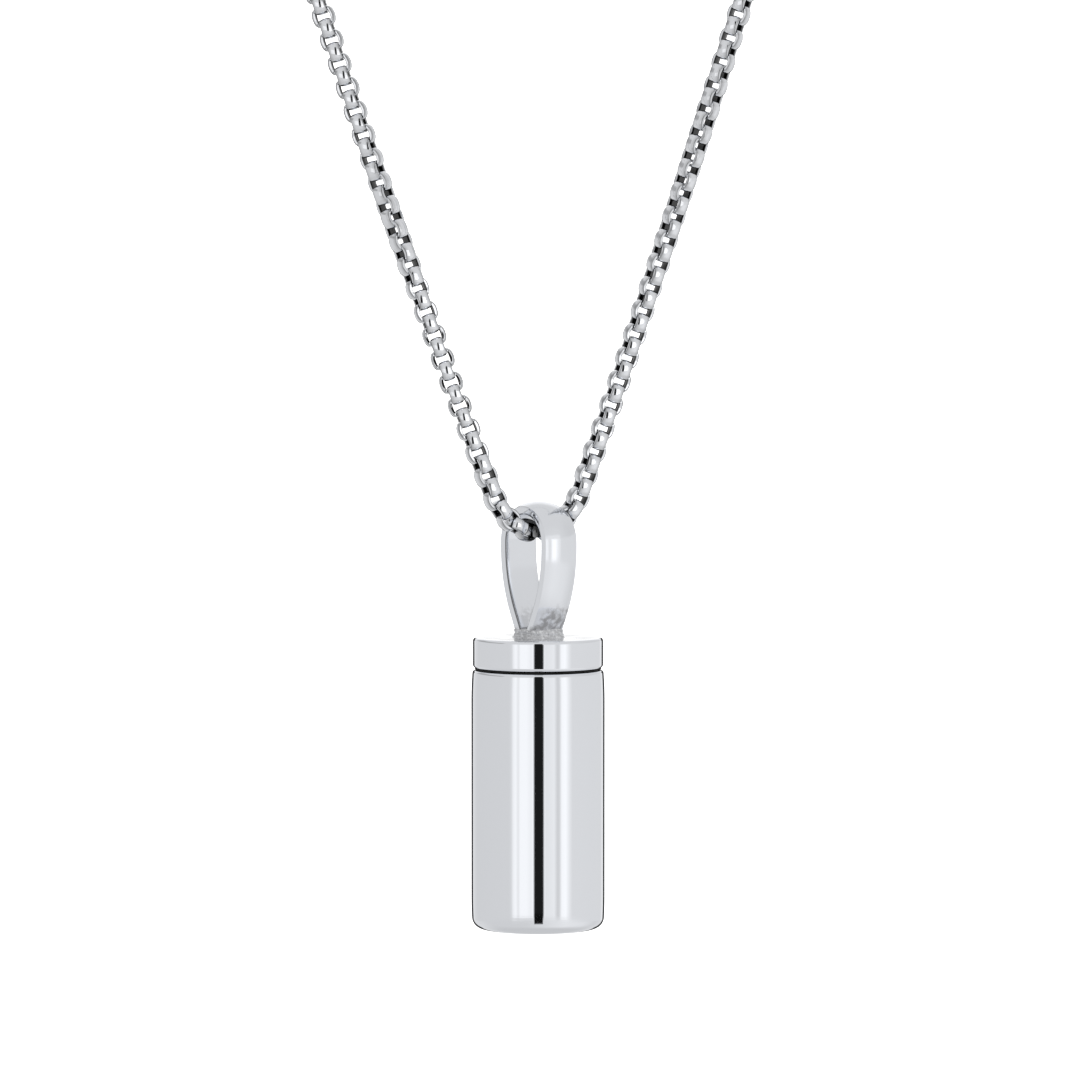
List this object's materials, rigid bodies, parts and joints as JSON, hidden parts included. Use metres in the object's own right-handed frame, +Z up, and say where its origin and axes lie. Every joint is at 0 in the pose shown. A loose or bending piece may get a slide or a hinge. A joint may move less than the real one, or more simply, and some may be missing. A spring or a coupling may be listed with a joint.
{
  "type": "keepsake urn pendant necklace",
  "caption": "Polished steel cylinder urn pendant with a screw-off body, hanging by a cast bail from a rounded box-chain necklace.",
  "frame": {"origin": "middle of the chain where the back of the loop rests on the neck, at the clasp", "axes": "+Z up, with the pendant hanging down -Z; the pendant faces -Y, away from the wearer; +X is the viewer's right"},
  "size_m": [0.108, 0.0909, 0.195],
  "materials": {
    "chain_steel": "polished",
    "clasp_steel": "polished",
    "polished_steel": "mirror polished",
    "seal": "matt black"
  },
  "bodies": {
    "chain": {"chain_front": "chain_steel", "chain_back": "chain_steel", "clasp": "clasp_steel"},
    "cap": {"cap_bail": "polished_steel"},
    "seal": {"gasket": "seal"},
    "canister": {"urn_body": "polished_steel"}
  },
  "joints": [
    {"name": "pendant_swing", "type": "hinge", "parent": "chain", "child": "cap", "pos_m": [-0.00014, -0.0821, -0.1554], "axis": [0.788, 0.6157, 0], "range_deg": [-60, 60]},
    {"name": "urn_turn", "type": "hinge", "parent": "cap", "child": "seal", "pos_m": [0, -0.082, -0.1687], "axis": [0, 0, -1], "range_deg": [0, 1800]},
    {"name": "urn_drop", "type": "slide", "parent": "seal", "child": "canister", "axis": [0, 0, -1], "range_m": [0, 0.00375]}
  ],
  "couplings": [
    {"joint": "urn_turn", "follows": "urn_drop", "rad_per_m": 8377.5}
  ]
}
